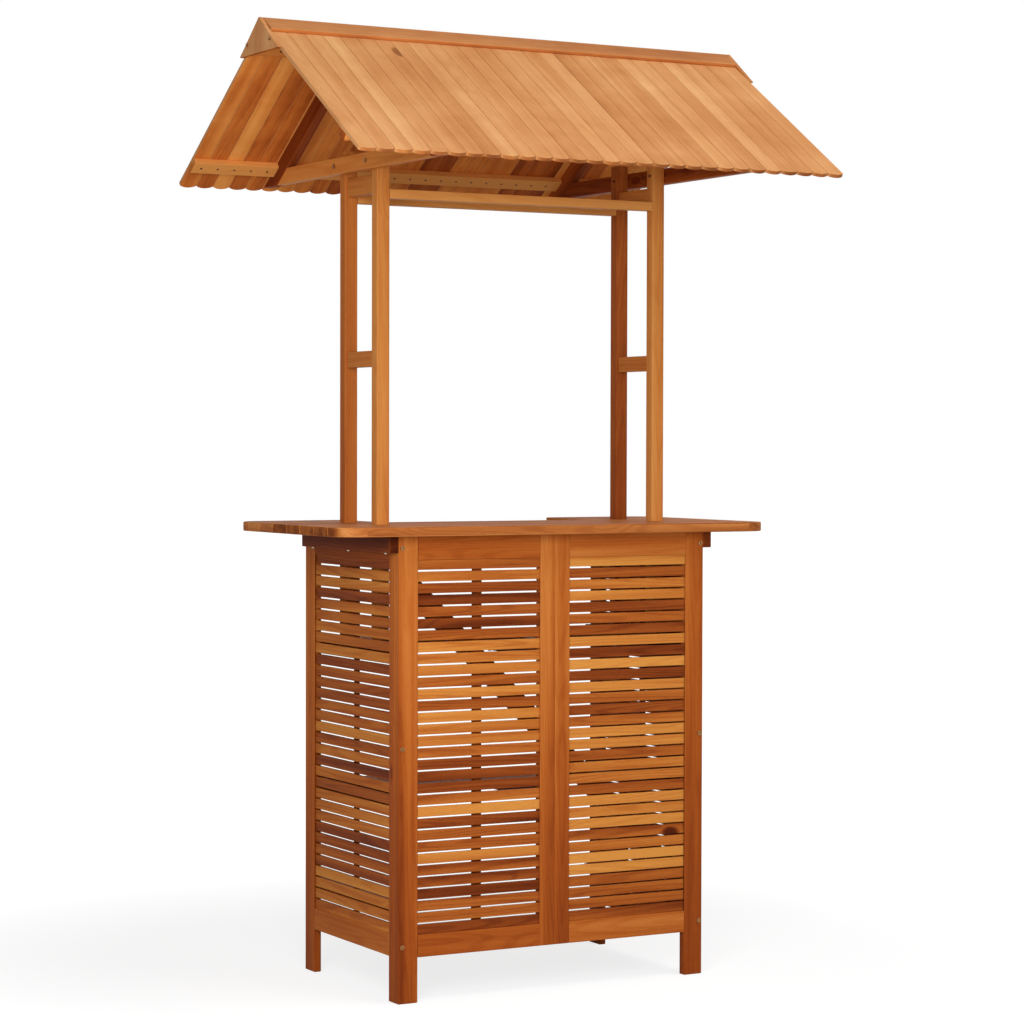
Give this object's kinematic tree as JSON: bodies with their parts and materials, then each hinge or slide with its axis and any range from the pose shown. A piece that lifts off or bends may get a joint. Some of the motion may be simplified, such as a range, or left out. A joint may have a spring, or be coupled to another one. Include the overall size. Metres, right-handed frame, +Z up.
{
  "type": "outdoor bar table with roof",
  "caption": "Wooden bar table with slatted front and sides, shelves, a U-shaped counter and a gable roof on posts.",
  "frame": {"origin": "on the floor under the middle of the cabinet, which is the middle of the whole object", "axes": "+X along the counter, -Y towards the guests' side, +Z up"},
  "size_m": [1.244, 0.983, 2.166],
  "materials": {
    "frame_wood": "oiled, satin",
    "slat_wood": "oiled, satin",
    "inner_wood": "oiled, satin",
    "counter_wood": "oiled, satin",
    "post_wood": "oiled, satin",
    "truss_wood": "oiled, satin",
    "roof_wood": "oiled, satin",
    "dowel_wood": "oiled, satin",
    "steel": "zinc plated"
  },
  "bodies": {
    "root": {"front_left_leg": "frame_wood", "front_right_leg": "frame_wood", "rear_left_leg": "frame_wood", "rear_right_leg": "frame_wood", "front_left_stile": "frame_wood", "front_right_stile": "frame_wood", "front_top_rails": "frame_wood", "front_bottom_rails": "frame_wood", "front_left_slats": "slat_wood", "front_right_slats": "slat_wood", "front_slat_battens": "inner_wood", "side_stiles": "frame_wood", "side_top_rails": "frame_wood", "side_bottom_rails": "frame_wood", "left_side_slats": "slat_wood", "right_side_slats": "slat_wood", "side_slat_battens": "inner_wood", "upper_shelf_rails": "inner_wood", "lower_shelf_rails": "inner_wood", "bottom_side_rails": "inner_wood", "upper_shelf_boards": "counter_wood", "lower_shelf_boards": "counter_wood", "shelf_battens": "inner_wood", "shelf_arms": "inner_wood", "diagonal_brace": "inner_wood", "counter_front_boards": "counter_wood", "counter_left_wing": "counter_wood", "counter_right_wing": "counter_wood", "counter_cleats": "inner_wood", "wing_battens": "inner_wood", "front_left_post": "post_wood", "front_right_post": "post_wood", "back_left_post": "post_wood", "back_right_post": "post_wood", "post_rungs": "post_wood", "head_rails": "post_wood", "front_beam": "post_wood", "back_beam": "post_wood", "left_tie_beam": "truss_wood", "right_tie_beam": "truss_wood", "left_rafters": "truss_wood", "right_rafters": "truss_wood", "front_eave_battens": "truss_wood", "back_eave_battens": "truss_wood", "ridge_battens": "truss_wood", "front_roof_boards": "roof_wood", "back_roof_boards": "roof_wood", "front_ridge_cap": "roof_wood", "back_ridge_cap": "roof_wood", "left_gable_plate": "roof_wood", "right_gable_plate": "roof_wood", "leg_bolts": "steel", "post_bolts": "steel", "truss_bolts": "steel", "dowels": "dowel_wood", "counter_screws": "steel", "shelf_screws": "steel", "brace_screws": "steel", "gable_screws": "steel", "roof_nails": "steel"}
  },
  "joints": []
}
